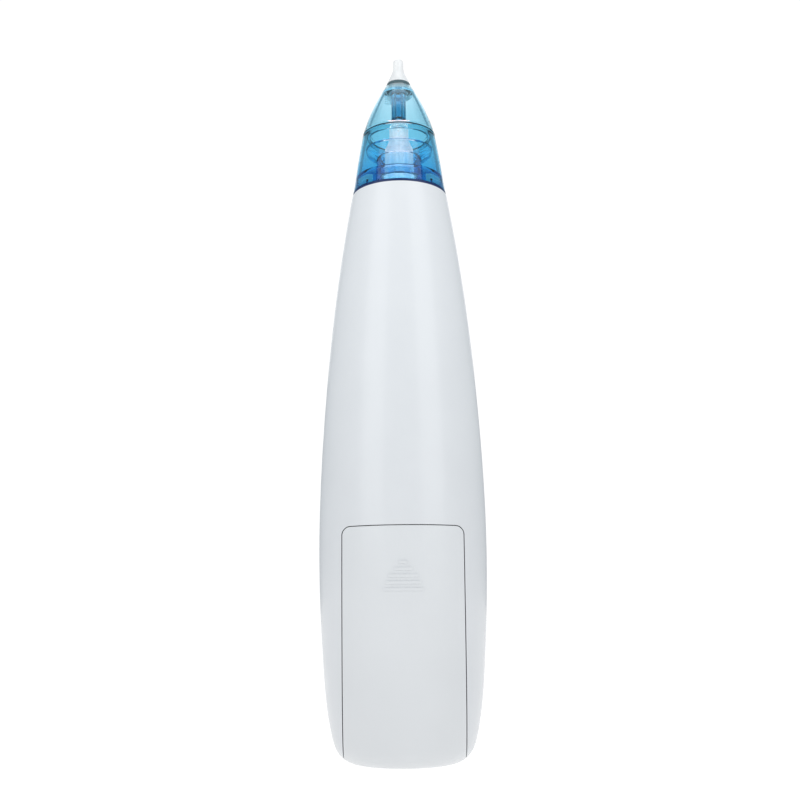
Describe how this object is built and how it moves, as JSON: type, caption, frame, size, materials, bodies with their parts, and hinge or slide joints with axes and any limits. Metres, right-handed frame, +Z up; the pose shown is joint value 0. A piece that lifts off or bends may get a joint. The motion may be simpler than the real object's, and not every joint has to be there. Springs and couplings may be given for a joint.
{
  "type": "nasal aspirator",
  "caption": "Slim battery-powered nasal aspirator with a tapered white body, sliding battery door, clear blue collection cup and cap, and a soft silicone tip.",
  "frame": {"origin": "centre of the flat base", "axes": "+Z up the body's axis to the silicone tip, -Y towards the battery door, +Y towards the buttons, +X to the right when seen from the battery door side"},
  "size_m": [0.0484, 0.0489, 0.2125],
  "materials": {
    "white_plastic": "satin gloss",
    "door_plastic": "satin gloss",
    "inner_plastic": "matt",
    "button_plastic": "satin gloss",
    "blue_clear_cup": "clear tinted",
    "blue_clear_cap": "clear tinted",
    "blue_clear_insert": "clear tinted",
    "clear_plastic": "clear",
    "navy_rubber": "satin",
    "black_rubber": "matt",
    "ring_rubber": "satin",
    "clear_silicone": "satin",
    "white_silicone": "satin",
    "cell_wrap": "printed film",
    "nickel": "bright",
    "motor_steel": "zinc plated",
    "magnet": "ferrite",
    "winding": "enamelled copper",
    "shaft_steel": "ground",
    "pump_plastic": "matt",
    "pump_dark": "matt",
    "board_green": "solder mask",
    "part_black": "moulded",
    "screw_steel": "zinc plated",
    "speaker_metal": "pressed"
  },
  "bodies": {
    "handle": {"back_shell": "white_plastic", "front_shell": "white_plastic", "battery_tray": "inner_plastic", "battery_cell_left": "cell_wrap", "battery_cell_right": "cell_wrap", "battery_springs": "nickel", "contact_bridge": "nickel", "contact_terminals": "nickel", "shell_screws": "screw_steel", "suction_switch": "part_black", "music_switch": "part_black", "circuit_board": "board_green", "board_components": "part_black", "speaker": "speaker_metal", "motor_can": "motor_steel", "motor_end_cap": "pump_dark", "motor_terminals": "nickel", "motor_magnets": "magnet", "motor_cradle": "inner_plastic", "pump_base": "pump_plastic", "wobble_plate": "pump_dark", "pump_diaphragm": "black_rubber", "valve_plate": "pump_plastic", "pump_cover": "pump_plastic", "pump_screws": "screw_steel", "suction_hose": "white_silicone", "neck_collar": "white_plastic", "neck_seal": "navy_rubber", "suction_spigot": "clear_plastic", "spigot_seal": "white_silicone"},
    "door": {"battery_door": "door_plastic"},
    "suction_key": {"suction_button": "button_plastic"},
    "music_key": {"music_button": "button_plastic"},
    "rotor": {"motor_armature": "winding", "motor_shaft": "shaft_steel", "pump_eccentric": "pump_plastic"},
    "cup": {"collection_cup": "blue_clear_cup", "splash_insert": "blue_clear_insert"},
    "cap": {"upper_cap": "blue_clear_cap", "cap_oring": "black_rubber", "tip_ring": "ring_rubber"},
    "tip": {"nose_tip": "clear_silicone"}
  },
  "joints": [
    {"name": "battery_door_slide", "type": "slide", "parent": "handle", "child": "door", "axis": [0, 0, -1], "range_m": [0, 0.024]},
    {"name": "suction_button_press", "type": "slide", "parent": "handle", "child": "suction_key", "axis": [0, -1, 0], "range_m": [0, 0.0008], "stiffness_N_per_m": 1200, "springref_m": -0.0004},
    {"name": "music_button_press", "type": "slide", "parent": "handle", "child": "music_key", "axis": [0, -1, 0], "range_m": [0, 0.0008], "stiffness_N_per_m": 900, "springref_m": -0.0004},
    {"name": "pump_rotor_spin", "type": "hinge", "parent": "handle", "child": "rotor", "pos_m": [0, -0.0035, 0.09], "axis": [0, 0, 1], "continuous": true},
    {"name": "cup_twist", "type": "hinge", "parent": "handle", "child": "cup", "pos_m": [0, 0, 0.17], "axis": [0, 0, 1], "range_deg": [0, 30]},
    {"name": "cap_pull", "type": "slide", "parent": "cup", "child": "cap", "axis": [0, 0, 1], "range_m": [0, 0.012]},
    {"name": "tip_pull", "type": "slide", "parent": "cap", "child": "tip", "axis": [0, 0, 1], "range_m": [0, 0.006]}
  ]
}
